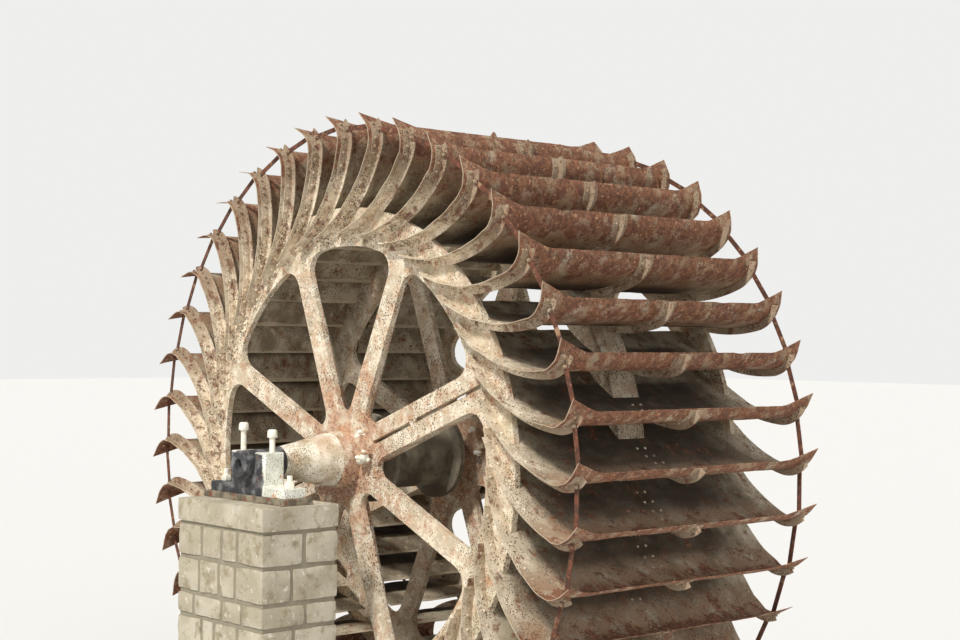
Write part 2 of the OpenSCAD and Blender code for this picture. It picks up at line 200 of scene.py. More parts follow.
# Meshes
class Shapes:
    """Collects many small solids for one joined mesh."""

    def __init__(self):
        self.points = []
        self.faces = []

    def add(self, points, faces):
        start = len(self.points)
        self.points.extend(tuple(p) for p in points)
        self.faces.extend([tuple(start + i for i in f) for f in faces])

    def stack(self, base, axis, rings, sides, spin=0.0, rough=0.0):
        """Rings of (radius, height) along axis, closed by a cap at each end."""
        axis = Vector(axis).normalized()
        turn = axis.to_track_quat("Z", "Y").to_matrix()
        points = []
        for r, h in rings:
            for k in range(sides):
                a = spin + 2 * math.pi * k / sides
                point = Vector(base) + turn @ Vector((r * math.cos(a), r * math.sin(a), h))
                if rough:
                    out = turn @ Vector((math.cos(a), math.sin(a), 0))
                    point -= out * rough * (0.5 + 0.5 * noise.noise(point * 31))
                points.append(point)
        faces = []
        for j in range(len(rings) - 1):
            for k in range(sides):
                n = (k + 1) % sides
                faces.append((j * sides + k, j * sides + n, (j + 1) * sides + n, (j + 1) * sides + k))
        faces.append(tuple(reversed(range(sides))))
        last = (len(rings) - 1) * sides
        faces.append(tuple(last + k for k in range(sides)))
        self.add(points, faces)

    def bolt(self, base, axis, width, spin):
        """A hexagon head of that width on a round washer."""
        r = width / 2 / math.cos(math.radians(30))
        washer = width * 0.1
        top = width * 0.72
        self.stack(base, axis, [(r * 1.25, 0), (r * 1.25, washer)], 14)
        self.stack(base, axis, [(r, washer), (r, top - width * 0.12), (r * 0.84, top)], 6, spin)

    def rivet(self, base, axis, r):
        """A low round head."""
        rings = [(r, 0), (r * 0.93, r * 0.35), (r * 0.68, r * 0.65), (r * 0.3, r * 0.8)]
        self.stack(base, axis, rings, 10)

    def block(self, low, high, cell, edge, push, seed):
        """A rough stone between two corners, worn back from its edges and faces."""
        low, high = np.array(low, float), np.array(high, float)
        size = high - low
        n = [max(2, round(s / cell)) for s in size]
        index = {}
        points = []

        def point(i, j, k):
            """Number of a point of the grid, which is made when it is first asked for."""
            if (i, j, k) not in index:
                p = low + size * np.array([i / n[0], j / n[1], k / n[2]])
                inner = np.minimum(np.maximum(p, low + edge), high - edge)
                out = p - inner
                out = out / (np.linalg.norm(out) or 1)
                wave = noise.noise(Vector(p * 4.3) + seed) + 0.5 * noise.noise(Vector(p * 13.0) + seed)
                depth = edge * 0.9 - push * min(1.0, max(0.0, 0.5 + 0.6 * wave))
                index[(i, j, k)] = len(points)
                points.append(inner + out * max(0.001, depth + edge * 0.1))
            return index[(i, j, k)]

        faces = []
        for axis in range(3):
            u, v = (axis + 1) % 3, (axis + 2) % 3
            for side in (0, n[axis]):
                for i in range(n[u]):
                    for j in range(n[v]):
                        corners = []
                        for du, dv in ((0, 0), (1, 0), (1, 1), (0, 1)):
                            at = [0, 0, 0]
                            at[axis], at[u], at[v] = side, i + du, j + dv
                            corners.append(point(*at))
                        faces.append(corners if side else corners[::-1])
        self.add(points, faces)

    def piece(self, name, slot, body, sharp=40, material=None):
        """Joins the solids in one piece of the scene that rides on a body."""
        mesh = bpy.data.meshes.new(name)
        mesh.from_pydata(self.points, [], self.faces)
        mesh.validate()
        mesh.shade_smooth()
        mesh.set_sharp_from_angle(angle=math.radians(sharp))
        mesh.materials.append(material or LOOKS[slot])
        piece = bpy.data.objects.new(name, mesh)
        bpy.context.scene.collection.objects.link(piece)
        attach(piece, body)
        return piece


# Materials
def srgb(r, g, b):
    def linear(c):
        c = c / 255
        return c / 12.92 if c <= 0.04045 else ((c + 0.055) / 1.055) ** 2.4
    return (linear(r), linear(g), linear(b), 1.0)


class Look:
    """One procedural material, with short calls for its nodes."""

    def __init__(self, name):
        self.material = bpy.data.materials.new(name)
        self.material.use_nodes = True
        self.tree = self.material.node_tree
        self.shader = self.tree.nodes["Principled BSDF"]
        self.at = self.add("ShaderNodeTexCoord").outputs["Object"]
        split = self.add("ShaderNodeSeparateXYZ", {0: self.at})
        self.x, self.y, self.z = split.outputs

    def feed(self, value, socket):
        """Links another node's output to a socket, or sets a plain value."""
        if isinstance(value, bpy.types.NodeSocket):
            self.tree.links.new(value, socket)
        else:
            socket.default_value = value

    def add(self, kind, inputs=None, **settings):
        node = self.tree.nodes.new(kind)
        for key, value in settings.items():
            setattr(node, key, value)
        for key, value in (inputs or {}).items():
            self.feed(value, node.inputs[key])
        return node

    def noise(self, scale, detail, rough=0.55, seed=0.0, stretch=None):
        at = self.at
        if stretch or seed:
            settings = {"Vector": at, "Location": (seed, seed, seed), "Scale": stretch or (1, 1, 1)}
            at = self.add("ShaderNodeMapping", settings).outputs[0]
        settings = {"Vector": at, "Scale": scale, "Detail": detail, "Roughness": rough}
        return self.add("ShaderNodeTexNoise", settings).outputs[0]

    def cells(self, scale, warp):
        """Distance from the middles of irregular cells."""
        wander = self.add("ShaderNodeTexNoise", {"Vector": self.at, "Scale": scale * 0.8}).outputs["Color"]
        shift = self.add("ShaderNodeVectorMath", {0: wander, 3: warp}, operation="SCALE").outputs[0]
        at = self.add("ShaderNodeVectorMath", {0: self.at, 1: shift}, operation="ADD").outputs[0]
        return self.add("ShaderNodeTexVoronoi", {"Vector": at, "Scale": scale}).outputs["Distance"]

    def math(self, operation, a, b=0.0):
        return self.add("ShaderNodeMath", {0: a, 1: b}, operation=operation).outputs[0]

    def times(self, a, b):
        return self.math("MULTIPLY", a, b)

    def between(self, value, low, high):
        """0 at low, 1 at high, smooth between them."""
        settings = {"Value": value, "From Min": low, "From Max": high}
        return self.add("ShaderNodeMapRange", settings, interpolation_type="SMOOTHSTEP").outputs[0]

    def patches(self, scale, detail, low, high, rough=0.55, seed=0.0):
        """Soft patches, 1 where a noise is over high and 0 where it is under low."""
        return self.between(self.noise(scale, detail, rough, seed), low, high)

    def layer(self, coat, colour, mask, share=1.0):
        """The coat with a colour over it where the mask is 1, only as strong as its share."""
        if share != 1.0:
            mask = self.times(mask, share)
        return self.add("ShaderNodeMix", {0: mask, 6: coat, 7: colour}, data_type="RGBA").outputs[2]

    def radius(self):
        """Distance from the axle."""
        up = self.math("SUBTRACT", self.z, AXLE_H)
        squares = self.math("ADD", self.times(self.x, self.x), self.times(up, up))
        return self.math("SQRT", squares)

    def finish(self, colour, rough, height, depth):
        """Sets colour, roughness and relief of a dull surface."""
        self.feed(colour, self.shader.inputs["Base Color"])
        self.feed(rough, self.shader.inputs["Roughness"])
        self.shader.inputs["Specular IOR Level"].default_value = 0.3
        bump = self.add("ShaderNodeBump", {"Height": height, "Strength": 0.8, "Distance": depth})
        self.feed(bump.outputs[0], self.shader.inputs["Normal"])
        return self.material


LIME = srgb(238, 224, 200)
LIME_GREY = srgb(206, 190, 164)
LIME_WHITE = srgb(250, 242, 224)
TAN = srgb(206, 174, 142)
SPECK = srgb(68, 55, 44)
SPECK_BROWN = srgb(108, 76, 56)
RUST = srgb(164, 110, 84)
RUST_PALE = srgb(206, 158, 122)
RUST_RED = srgb(130, 80, 63)
RUST_DARK = srgb(84, 60, 49)
PLATE_RUST = srgb(148, 99, 72)
PLATE_RED = srgb(114, 71, 55)
MOSS = srgb(172, 168, 130)
SILT = srgb(192, 180, 156)
SILT_DARK = srgb(140, 127, 106)
SILT_BROWN = srgb(164, 132, 104)
# Colour of the painted shade deep inside the buckets
PAINTED_SHADE_DARK = srgb(62, 54, 44)
DRUM = srgb(150, 142, 124)
DRUM_DARK = srgb(94, 85, 70)
GREASE = srgb(60, 60, 62)
GREASE_PALE = srgb(124, 124, 124)
GREASE_AND_SHADE_BROWN = srgb(122, 92, 78)
CHALK = srgb(236, 231, 212)
CHALK_WHITE = srgb(250, 247, 234)
# Pale bearing colours: partly lime crust, partly painted sunlight
LIME_AND_LIGHT = srgb(224, 223, 208)
LIME_AND_LIGHT_WHITE = srgb(246, 246, 234)
SOLE = srgb(150, 140, 120)
SOLE_DARK = srgb(104, 96, 82)
STONE = srgb(176, 166, 144)
STONE_PALE = srgb(202, 194, 174)
STONE_BROWN = srgb(154, 142, 116)
STONE_WHITE = srgb(216, 210, 194)
STONE_MOSS = srgb(122, 122, 92)
GRIME = srgb(98, 90, 74)
MORTAR_DARK = srgb(132, 124, 106)
MORTAR_PALE = srgb(164, 156, 136)


def specks(look, scale, least, most, seed=0.0):
    """Dark pits and flakes, wider where a coarse noise is high."""
    pits = look.cells(scale, 0.6 / scale)
    crowd = look.patches(2.9, 4, 0.34, 0.66, seed=7 + seed)
    reach = look.math("ADD", look.times(crowd, most - least), least)
    return look.between(look.math("SUBTRACT", reach, pits), -0.03, 0.06)


def speckled(look, coat, share=0.85):
    """The coat with three sizes of flakes, and how deep they lie."""
    colour = look.layer(SPECK, SPECK_BROWN, look.patches(11, 4, 0.42, 0.58, seed=17))
    large = specks(look, 34, 0.12, 0.33)
    middle = specks(look, 52, 0.14, 0.38, 5)
    small = specks(look, 95, 0.14, 0.36, 9)
    coat = look.layer(coat, SPECK_BROWN, small, share * 0.4)
    coat = look.layer(coat, colour, middle, share * 0.9)
    coat = look.layer(coat, colour, large, share)
    return coat, look.math("MAXIMUM", large, look.times(middle, 0.7))


def pitted(look, grain, depth, share=0.6):
    """Height of a grainy surface whose flakes lie deeper."""
    return look.math("SUBTRACT", look.noise(grain, 8, 0.7), look.times(depth, share))


def lime_cast_iron():
    look = Look("lime_cast_iron")
    radius = look.radius()
    coat = look.layer(LIME_GREY, LIME, look.patches(4.5, 6, 0.4, 0.6))
    coat = look.layer(coat, LIME_WHITE, look.patches(17, 5, 0.52, 0.7, seed=3))
    coat = look.layer(coat, TAN, look.patches(7, 6, 0.46, 0.66, seed=21), 0.75)
    moss = look.times(look.between(radius, *MOSS_RIM), look.patches(4, 5, 0.46, 0.66, seed=11))
    coat = look.layer(coat, MOSS, moss, 0.4)
    near_hub = look.times(look.between(radius, *HUB_RUST), 0.16)
    rust_map = look.math("ADD", look.noise(6.5, 7, 0.65, seed=5), near_hub)
    rust = look.layer(RUST_PALE, RUST, look.patches(23, 5, 0.4, 0.62, seed=2))
    coat = look.layer(coat, rust, look.between(rust_map, 0.53, 0.68), 0.72)
    coat = look.layer(coat, RUST_RED, look.patches(9, 7, 0.60, 0.7, rough=0.65, seed=31), 0.6)
    coat, depth = speckled(look, coat)
    return look.finish(coat, 0.88, pitted(look, 38, depth, 0.7), 0.006)


def shaft_iron():
    look = Look("shaft_iron")
    along = look.math("ABSOLUTE", look.y)
    coat = look.layer(LIME_GREY, LIME_WHITE, look.patches(5, 6, 0.4, 0.6))
    coat = look.layer(coat, TAN, look.patches(3.1, 5, 0.48, 0.66, seed=24), 0.6)
    coat = look.layer(coat, MOSS, look.patches(2.3, 4, 0.52, 0.7, seed=4), 0.3)
    rust = look.layer(RUST_PALE, RUST_RED, look.noise(19, 5, seed=2))
    spots = look.patches(8, 7, 0.57, 0.68, rough=0.7, seed=6)
    coat = look.layer(coat, rust, spots, 0.7)
    coat, depth = speckled(look, coat, 0.75)
    dirt = look.layer(DRUM, DRUM_DARK, look.patches(3, 6, 0.35, 0.65, seed=8))
    dirt = look.layer(dirt, RUST_DARK, spots, 0.6)
    coat = look.layer(coat, dirt, look.between(along, *DIRTY_DRUM))
    grease = look.layer(GREASE, GREASE_PALE, look.patches(9, 5, 0.42, 0.66, seed=12))
    journal = look.between(along, *GREASED_JOURNAL)
    coat = look.layer(coat, grease, journal)
    rough = look.math("SUBTRACT", 0.9, look.times(journal, 0.35))
    return look.finish(coat, rough, pitted(look, 30, depth), 0.005)


def bucket_plate():
    look = Look("bucket_plate")
    radius = look.radius()
    along = look.math("ABSOLUTE", look.y)
    silt = look.layer(SILT_DARK, SILT, look.patches(3.4, 6, 0.38, 0.62))
    silt = look.layer(silt, LIME_GREY, look.patches(9, 6, 0.56, 0.74, seed=3))
    # Painted shade deep inside the buckets, streaky, fading out towards the wheel's ends
    painted_shade = look.times(look.between(radius, *PAINTED_SHADE_START), look.between(radius, *PAINTED_SHADE_END))
    painted_shade = look.times(painted_shade, look.between(along, *PAINTED_SHADE_WITHIN))
    streaks = look.noise(4.2, 6, 0.6, seed=5, stretch=(1, 0.3, 1))
    silt = look.layer(silt, PAINTED_SHADE_DARK, painted_shade, look.math("ADD", 0.5, look.times(streaks, 0.7)))
    bright = look.layer(LIME_GREY, LIME, look.patches(6, 6, 0.4, 0.62, seed=15))
    outer_end = look.times(look.between(along, *LIMED_OUTER_END), look.between(radius, *LIMED_REACH))
    silt = look.layer(silt, bright, outer_end, 0.8)
    brown = look.times(look.between(radius, *BROWN_SILT), look.patches(5, 6, 0.30, 0.55, seed=25))
    silt = look.layer(silt, SILT_BROWN, brown, 0.85)
    rust = look.layer(PLATE_RED, PLATE_RUST, look.patches(17, 6, 0.38, 0.6, seed=2))
    rust = look.layer(rust, RUST_DARK, look.patches(41, 5, 0.50, 0.66, seed=13))
    rust = look.layer(rust, RUST_PALE, look.patches(23, 6, 0.58, 0.7, seed=33))
    near_lip = look.times(look.between(radius, *LIP_RUST), 0.16)
    rust_map = look.math("ADD", look.noise(6.6, 7, 0.66, seed=6), near_lip)
    coat = look.layer(silt, rust, look.between(rust_map, 0.53, 0.67), 0.9)
    coat, depth = speckled(look, coat, 0.75)
    # Painted highlights: pale lines along the plates' end and inner edges
    edge = look.math("MAXIMUM", look.between(along, *PAINTED_LIGHT_END_EDGE), look.between(radius, *PAINTED_LIGHT_INNER_EDGE))
    coat = look.layer(coat, LIME_GREY, edge, 0.6)
    return look.finish(coat, 0.9, pitted(look, 34, depth), 0.005)


def bucket_iron():
    look = Look("bucket_iron")
    coat = look.layer(LIME_GREY, LIME, look.patches(6, 6, 0.4, 0.6))
    coat = look.layer(coat, TAN, look.patches(16, 5, 0.55, 0.7, seed=23))
    dull = look.layer(SILT_DARK, SILT_BROWN, look.noise(13, 6, seed=27))
    coat = look.layer(coat, dull, look.between(look.radius(), *DULL_IRON), 0.8)
    rust = look.layer(RUST, RUST_DARK, look.noise(21, 5, seed=2))
    coat = look.layer(coat, rust, look.patches(8, 7, 0.53, 0.65, seed=5), 0.75)
    coat, depth = speckled(look, coat)
    return look.finish(coat, 0.9, pitted(look, 45, depth), 0.004)


def rusty_bar():
    look = Look("rusty_bar")
    rust = look.layer(RUST_DARK, PLATE_RED, look.patches(12, 6, 0.4, 0.62))
    rust = look.layer(rust, PLATE_RUST, look.patches(31, 6, 0.56, 0.7, seed=4))
    rust = look.layer(rust, SILT_BROWN, look.patches(9, 5, 0.58, 0.7, seed=8))
    return look.finish(rust, 0.92, look.noise(60, 8, 0.7), 0.003)


def chalky_steel():
    look = Look("chalky_steel")
    coat = look.layer(CHALK, CHALK_WHITE, look.patches(18, 6, 0.4, 0.6))
    coat = look.layer(coat, RUST_PALE, look.patches(26, 6, 0.6, 0.7, seed=3), 0.5)
    coat = look.layer(coat, SPECK, look.between(look.cells(80, 0.01), 0.2, 0.1), 0.5)
    return look.finish(coat, 0.85, look.noise(80, 8, 0.7), 0.003)


def bearing_iron():
    look = Look("bearing_iron")
    # Grease, darkened as painted shade on the near face and the rest of each bearing
    dark = look.layer(GREASE, GREASE_PALE, look.patches(8, 6, 0.42, 0.66))
    dark = look.layer(dark, GREASE_AND_SHADE_BROWN, look.patches(14, 6, 0.6, 0.7, seed=3))
    pale = look.layer(LIME_AND_LIGHT, LIME_AND_LIGHT_WHITE, look.patches(7, 6, 0.4, 0.6, seed=9))
    pale = look.layer(pale, RUST_PALE, look.patches(11, 6, 0.62, 0.7, seed=19))
    pale = look.layer(pale, SPECK, look.between(look.cells(48, 0.02), 0.3, 0.16))
    wander = look.times(look.math("SUBTRACT", look.noise(9, 4, seed=1), 0.5), 0.06)
    # Pale on the right side as painted sunlight over lime, and pale along the top rim
    side = look.between(look.math("ADD", look.x, wander), *LIME_AND_LIGHT_SIDE)
    rim = look.between(look.math("ADD", look.z, wander), *LIMED_RIM)
    coat = look.layer(dark, pale, look.math("MAXIMUM", side, look.times(rim, 0.8)))
    return look.finish(coat, 0.75, look.noise(36, 8, 0.7), 0.004)


def sole_iron():
    look = Look("sole_iron")
    coat = look.layer(SOLE_DARK, SOLE, look.patches(8, 6, 0.4, 0.6))
    coat = look.layer(coat, RUST_RED, look.patches(10, 6, 0.54, 0.66, seed=3))
    return look.finish(coat, 0.88, look.noise(40, 8, 0.7), 0.004)


def stone():
    look = Look("stone")
    tone = look.layer(STONE, STONE_PALE, look.patches(1.9, 3, 0.35, 0.65))
    tone = look.layer(tone, STONE_BROWN, look.patches(8, 7, 0.5, 0.7, seed=3))
    tone = look.layer(tone, STONE_WHITE, look.patches(13, 6, 0.58, 0.72, seed=6))
    tone = look.layer(tone, GRIME, look.patches(20, 7, 0.58, 0.7, rough=0.7, seed=14), 0.6)
    moss = look.times(look.between(look.z, *PIER_MOSS), look.patches(3, 6, 0.35, 0.6, seed=9))
    tone = look.layer(tone, STONE_MOSS, moss, 0.55)
    return look.finish(tone, 0.95, look.noise(22, 9, 0.72), 0.012)


def mortar():
    look = Look("mortar")
    tone = look.layer(MORTAR_DARK, MORTAR_PALE, look.noise(12, 6))
    return look.finish(tone, 0.97, look.noise(50, 8, 0.7), 0.006)


LOOKS = {
    "masonry": stone(),
    "sole_iron": sole_iron(),
    "bolt_steel": chalky_steel(),
    "bearing_iron": bearing_iron(),
    "shaft_iron": shaft_iron(),
    "cast_iron": lime_cast_iron(),
    "bucket_plate": bucket_plate(),
    "bucket_iron": bucket_iron(),
    "rusty_bar": rusty_bar(),
}
MORTAR = mortar()
ROUNDED_SLOTS = ("cast_iron", "bearing_iron", "sole_iron")
EDGE_WIDTH = 0.009


def soften(solid):
    """Rounds the cast edges of a solid and keeps its flat faces flat."""
    weld = solid.modifiers.new("weld", "WELD")
    weld.merge_threshold = 0.0002
    bevel = solid.modifiers.new("bevel", "BEVEL")
    bevel.width = EDGE_WIDTH
    bevel.segments = 2
    bevel.limit_method = "ANGLE"
    bevel.angle_limit = math.radians(38)
    level = solid.modifiers.new("level", "WEIGHTED_NORMAL")
    level.keep_sharp = True


# The flange of the middle spider is too thin to round
for part in frame["record"]["subparts"]:
    solid = frame["nodes"][part["node"]]
    solid.data.materials.clear()
    solid.data.materials.append(LOOKS[part["material_slot"]])
    if part["material_slot"] in ROUNDED_SLOTS and not part["node"].startswith("spider_middle"):
        soften(solid)


# Buckets as dented sheets with worn edges
PLATE_ROWS = 20
LIP_ROWS = 12
EAR_ROWS = 4
COLUMN_W = 0.065
DENTED_FROM = (0.20, 0.45)
DENTED_TO = (1.50, 1.25)
DENT_DEPTH = 0.011
SMALL_DENT_DEPTH = 0.004
END_WAVE_START = 1.67
END_WAVE_DEPTH = 0.012
LIP_WEAR = 0.003
LIP_ROUGH = 0.006
LIP_BITE = 0.05
LIP_BITE_FROM = (0.10, 0.25)
EAR_ROUGH = 0.006
END_WEAR = 0.002
END_ROUGH = 0.007


def bucket_rows():
    """Section of a bucket from its inner edge to its lip, and the row where its notches end.

    A row is a point, the normal there and how far round the lip it lies.
    """
    angles = list(np.linspace(PLATE_A0, PLATE_A1, PLATE_ROWS))
    notch_end = plate_direction(RING_OUT + CLEAR, PLATE_R)
    notch_row = next(j for j, a in enumerate(angles) if a > notch_end)
    angles[notch_row] = notch_end
    rows = [(PLATE_C + polar(PLATE_R, a), polar(1, a), 0.0) for a in angles]
    for a in np.linspace(PLATE_A1, LIP_A1, LIP_ROWS)[1:]:
        rows.append((LIP_C + polar(LIP_R, a), polar(1, a), (a - PLATE_A1) / LIP_ARC))
    return rows, notch_row


def bucket_columns():
    """Places of a sheet's points along the axle, with one at each side of a notch or an ear."""
    marks = [MID_GAP, MID_REACH + CLEAR, EAR_W, WEB_FAR, WEB_NEAR, END_W]
    columns = []
    for a, b in zip(marks, marks[1:]):
        count = max(1, round((b - a) / COLUMN_W))
        columns += list(np.linspace(a, b, count, endpoint=False))
    return columns + [END_W]


ROWS, NOTCH_ROW = bucket_rows()
COLUMNS = bucket_columns()
LIP_ROW = len(ROWS) - 1
SHEET_ROWS = len(ROWS) + EAR_ROWS


def step_up(value, low, high):
    """0 at low, 1 at high, smooth between them."""
    t = min(1.0, max(0.0, (value - low) / (high - low)))
    return t * t * (3 - 2 * t)


def dent(i, end, row, w, lip):
    """How far a bucket plate is dented along its normal, clear of the irons."""
    free = step_up(w, *DENTED_FROM) * step_up(w, *DENTED_TO)
    edge = step_up(w, END_WAVE_START, END_W)
    at = Vector((row * 0.16 + i * 7.3, w * 2.6 * end, i * 3.1))
    push = noise.noise(at) * DENT_DEPTH * free + noise.noise(at * 2.7) * SMALL_DENT_DEPTH * free
    wave = noise.noise(Vector((row * 0.35, i * 5.7, end * 9.0))) * END_WAVE_DEPTH * edge
    return (push + wave) * (1 - 0.5 * lip)


def worn(i, end, w):
    """How far the lip's edge is worn back."""
    at = Vector((w * 9.0 * end, i * 4.7, 2.0))
    bite = max(0.0, noise.noise(Vector((w * 3.1 * end, i * 9.1, 5.0))) - 0.25)
    return LIP_WEAR + LIP_ROUGH * (noise.noise(at) + 1) * 0.5 + LIP_BITE * bite * step_up(w, *LIP_BITE_FROM)


def sheet_point(i, end, r, w):
    """A point on the front of bucket i in the wheel's plane, and the normal there."""
    if r <= LIP_ROW:
        p, n, lip = ROWS[r]
        p = p + n * dent(i, end, r, w, lip)
        if r == LIP_ROW and w < EAR_W:
            p = p - LIP_DIR * worn(i, end, w)
        return p, n
    p, n, lip = ROWS[LIP_ROW]
    share = (r - LIP_ROW) / EAR_ROWS
    ragged = EAR_ROUGH * share * (1 + noise.noise(Vector((w * 17, i, end))))
    rise = max(0.0, EAR_H * max(0.0, (w - EAR_W) / EAR_L) - ragged)
    return p + n * dent(i, end, LIP_ROW, w, lip) + LIP_DIR * rise * share, n


def in_sheet(r, c):
    """Whether the grid's cell at row r and column c is part of the plate."""
    if r < 0 or c < 0 or r >= SHEET_ROWS - 1 or c >= len(COLUMNS) - 1:
        return False
    mid = (COLUMNS[c] + COLUMNS[c + 1]) / 2
    if r < NOTCH_ROW and (mid < MID_REACH or WEB_FAR < mid < WEB_NEAR):
        return False
    return r < LIP_ROW or mid > EAR_W


def sheet_faces():
    """Faces of a near bucket's front, back and border, and the grid's points that they use."""
    wide = len(COLUMNS)
    back = SHEET_ROWS * wide
    faces = []
    for r in range(SHEET_ROWS - 1):
        for c in range(wide - 1):
            if not in_sheet(r, c):
                continue
            a = r * wide + c
            b, d, e = a + 1, a + wide + 1, a + wide
            faces.append((a, b, d, e))
            faces.append((a + back, e + back, d + back, b + back))
            if not in_sheet(r - 1, c):
                faces.append((a, a + back, b + back, b))
            if not in_sheet(r + 1, c):
                faces.append((e, d, d + back, e + back))
            if not in_sheet(r, c - 1):
                faces.append((a, e, e + back, a + back))
            if not in_sheet(r, c + 1):
                faces.append((b, b + back, d + back, d))
    used = sorted({k for face in faces for k in face})
    place = {k: j for j, k in enumerate(used)}
    return [tuple(place[k] for k in face) for face in faces], used


SHEET_FACES, SHEET_USED = sheet_faces()


def bucket_sheet(shapes, i, end):
    """Adds bucket i on the near (1) or far (-1) side."""
    turn = bucket_angle(i)
    front, back = [], []
    for r in range(SHEET_ROWS):
        for w in COLUMNS:
            p, n = sheet_point(i, end, r, w)
            slip = 0.0
            if w == END_W:
                slip = END_WEAR + END_ROUGH * abs(noise.noise(Vector((r * 0.6, i * 2.9, end * 4.0))))
            front.append(on_wheel(turned(p, turn), end * (w - slip)))
            back.append(on_wheel(turned(p + n * PLATE_T, turn), end * (w - slip)))
    points = front + back
    faces = SHEET_FACES if end > 0 else [face[::-1] for face in SHEET_FACES]
    shapes.add([points[k] for k in SHEET_USED], faces)


for side, end in (("near", 1), ("far", -1)):
    for group in range(BUCKETS // GROUP):
        sheets = Shapes()
        for i in range(GROUP * group, GROUP * (group + 1)):
            bucket_sheet(sheets, i, end)
        sheet = sheets.piece(f"bucket_sheets_{side}_{group + 1}", "bucket_plate", "wheel", sharp=50)
        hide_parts(f"buckets_{side}_{group + 1}")


# Bolts and rivets of irons and cleats
def leg_directions(start, on_lip):
    """Directions of the fixings along a bucket: at even steps on its plate, then on its lip."""
    return list(np.arange(start, PLATE_A1, LEG_STEP)) + [PLATE_A1 + a for a in on_lip]


def leg_spot(a, turn, w, away):
    """Place on the line of fixings along a bucket, and the way out from its back."""
    n = turned(polar(1, a), turn)
    return on_wheel(turned(behind(a, away), turn), w), Vector((n[0], 0, n[1]))


def iron_bolts(side, end):
    """Bolts through the irons into ring, bucket plates, lips and tie bars."""
    shapes = Shapes()
    draw = random.Random(11 if end > 0 else 12)
    web_w = RING_FACE + SEAT + IRON_T
    leg_w = end * (RING_FACE + SEAT + LEG_LINE)
    directions = leg_directions(IRON_FOOT + LEG_BOLT_START, LIP_BOLTS)
    for i in range(BUCKETS):
        turn = bucket_angle(i)
        for k in range(WEB_BOLTS):
            p = behind(IRON_FOOT + WEB_BOLT_START + k * WEB_BOLT_STEP, SEAT + WEB_LINE)
            if np.hypot(*p) < RING_OUT - RING_EDGE and draw.random() > LOST_WEB_BOLTS:
                shapes.bolt(on_wheel(turned(p, turn), end * web_w), (0, -end, 0), WEB_BOLT, draw.random())
        for a in directions:
            if draw.random() < LOST_LEG_BOLTS:
                continue
            back, out = leg_spot(a, turn, leg_w, SEAT + IRON_T)
            shapes.bolt(back, out, LEG_BOLT, draw.random())
            front, out = leg_spot(a, turn, leg_w, -PLATE_T)
            shapes.rivet(front, -out, RIVET_R)
        p = turned(behind(PLATE_A1 + TIE_TOP_ARC, TIE_TOP_BACK), turn)
        shapes.bolt(on_wheel(p, end * (web_w + SEAT + TIE_T)), (0, -end, 0), WEB_BOLT, draw.random())
    shapes.piece(f"iron_bolts_{side}", "bucket_iron", "wheel")


def cleat_rivets(side, end):
    """Rivets through the cleats, with a head in front of the plate and one behind."""
    shapes = Shapes()
    leg_w = end * (MID_GAP + LEG_LINE)
    directions = leg_directions(CLEAT_FOOT + RIVET_START, LIP_RIVETS)
    for i in range(BUCKETS):
        turn = bucket_angle(i)
        for a in directions:
            front, out = leg_spot(a, turn, leg_w, -PLATE_T)
            shapes.rivet(front, -out, RIVET_R)
            back, out = leg_spot(a, turn, leg_w, SEAT + IRON_T)
            shapes.rivet(back, out, RIVET_R)
    shapes.piece(f"cleat_rivets_{side}", "bucket_iron", "wheel")


# Studs of the bearings, which stand free where the caps are gone: the left nut is higher
STUD_FREE = 0.145
STUD_LIFT = 0.050
STUD_STEP = 0.012
FOOT_STUD = 0.120
CHAMFER = 0.002
TOP_NUT_H = 0.080


def bearing_studs(side, end):
    """Lime-crusted studs and rounded nuts of one bearing, in place of the plain ones."""
    shapes = Shapes()
    y = -end * BEARING_Y
    up = (0, 0, 1)
    r = NUT_W / 2 / math.cos(math.radians(30))
    top_nut = [(r * 0.9, 0), (r, 0.008), (r * 0.985, TOP_NUT_H * 0.4), (r * 0.97, TOP_NUT_H * 0.72),
               (r * 0.88, TOP_NUT_H * 0.9), (r * 0.68, TOP_NUT_H * 0.985), (r * 0.3, TOP_NUT_H)]
    foot_end = FOOT_TOP + FOOT_STUD
    foot_stud = [(BOLT_R, SEAT_BASE + SEAT), (BOLT_R, foot_end - CHAMFER), (BOLT_R * 0.7, foot_end)]
    foot_nut = [(r * 0.94, 0), (r, 0.008), (r * 0.97, 0.045), (r * 0.8, 0.060)]
    for sx in (-1, 1):
        nut_z = CHEEK_TOP + STUD_FREE + (STUD_LIFT if sx < 0 else 0)
        heights = list(np.arange(SEAT_BASE + SEAT, nut_z - STUD_STEP, STUD_STEP)) + [nut_z]
        base = Vector((sx * BOLT_SPAN / 2, y, 0))
        shapes.stack(base, up, [(BOLT_R, z) for z in heights], 20, rough=0.0025)
        shapes.stack(base + Vector((0, 0, nut_z)), up, top_nut, 24, spin=0.3, rough=0.006)
        base = Vector((sx * FOOT_SPAN / 2, y, 0))
        shapes.stack(base, up, foot_stud, 20, rough=0.003)
        shapes.stack(base + Vector((0, 0, FOOT_TOP + SEAT)), up, foot_nut, 6, spin=0.3, rough=0.004)
    piece = shapes.piece(f"bearing_studs_{side}", "bolt_steel", "frame", sharp=50)
    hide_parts(f"bearing_bolts_{side}")


